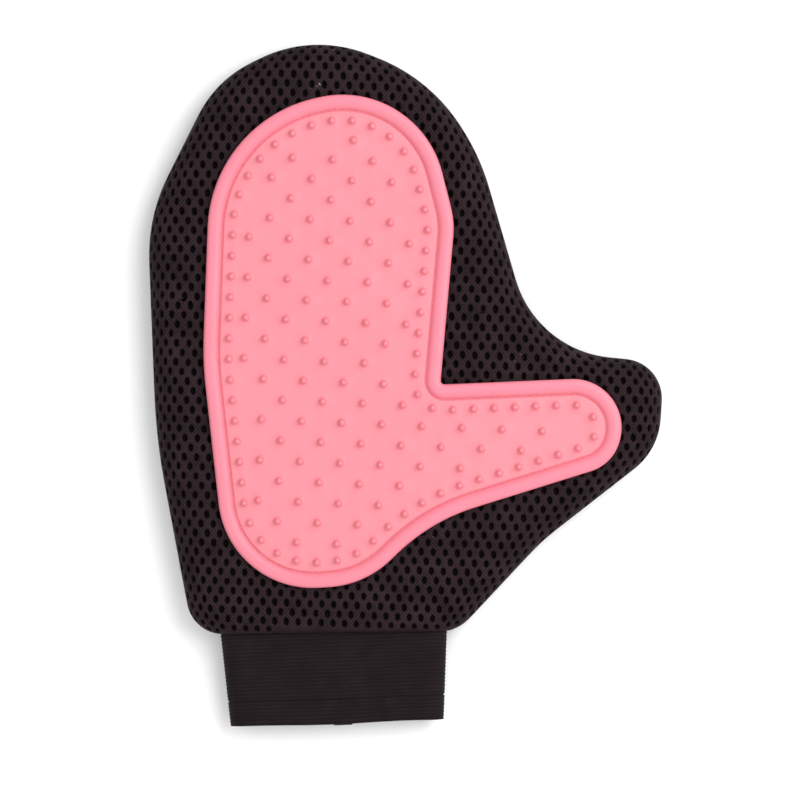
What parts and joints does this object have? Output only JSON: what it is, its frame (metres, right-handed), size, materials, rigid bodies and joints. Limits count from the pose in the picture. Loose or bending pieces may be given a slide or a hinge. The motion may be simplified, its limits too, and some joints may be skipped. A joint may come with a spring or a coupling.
{
  "type": "pet grooming mitt",
  "caption": "Mesh grooming mitt with one thumb, a nubbed rubber palm pad sewn on, and a ribbed elastic wrist cuff.",
  "frame": {"origin": "on the surface the mitt lies on, under the middle of its outline", "axes": "+Z out of the palm pad, +Y towards the fingertips, +X towards the thumb"},
  "size_m": [0.1805, 0.2398, 0.0223],
  "materials": {
    "spacer_mesh": "matte knitted spacer mesh",
    "ribbed_elastic": "matte ribbed elastic",
    "pink_rubber": "satin moulded rubber",
    "pink_thread": "matte thread",
    "black_thread": "matte thread"
  },
  "bodies": {
    "hand": {"hand_palm_mesh": "spacer_mesh", "hand_back_mesh": "spacer_mesh", "hand_rubber_pad": "pink_rubber", "hand_pad_needle_thread": "pink_thread", "hand_pad_bobbin_thread": "black_thread", "hand_side_seam_thread": "black_thread", "cuff_band": "ribbed_elastic", "cuff_closing_thread": "black_thread", "cuff_overlock_thread": "black_thread"},
    "fingers": {"finger_palm_mesh": "spacer_mesh", "finger_back_mesh": "spacer_mesh", "finger_rubber_pad": "pink_rubber", "finger_pad_needle_thread": "pink_thread", "finger_pad_bobbin_thread": "black_thread", "finger_side_seam_thread": "black_thread"},
    "thumb": {"thumb_palm_mesh": "spacer_mesh", "thumb_back_mesh": "spacer_mesh", "thumb_rubber_pad": "pink_rubber", "thumb_pad_needle_thread": "pink_thread", "thumb_pad_bobbin_thread": "black_thread", "thumb_side_seam_thread": "black_thread"}
  },
  "joints": [
    {"name": "finger_curl", "type": "hinge", "parent": "hand", "child": "fingers", "pos_m": [-0.0267, 0.0462, 0.0206], "axis": [0.9991, -0.0419, 0], "range_deg": [0, 45], "stiffness_Nm_per_rad": 0.06},
    {"name": "thumb_fold", "type": "hinge", "parent": "hand", "child": "thumb", "pos_m": [0.0512, -0.015, 0.0206], "axis": [-0.0419, -0.9991, 0], "range_deg": [0, 45], "stiffness_Nm_per_rad": 0.02}
  ]
}
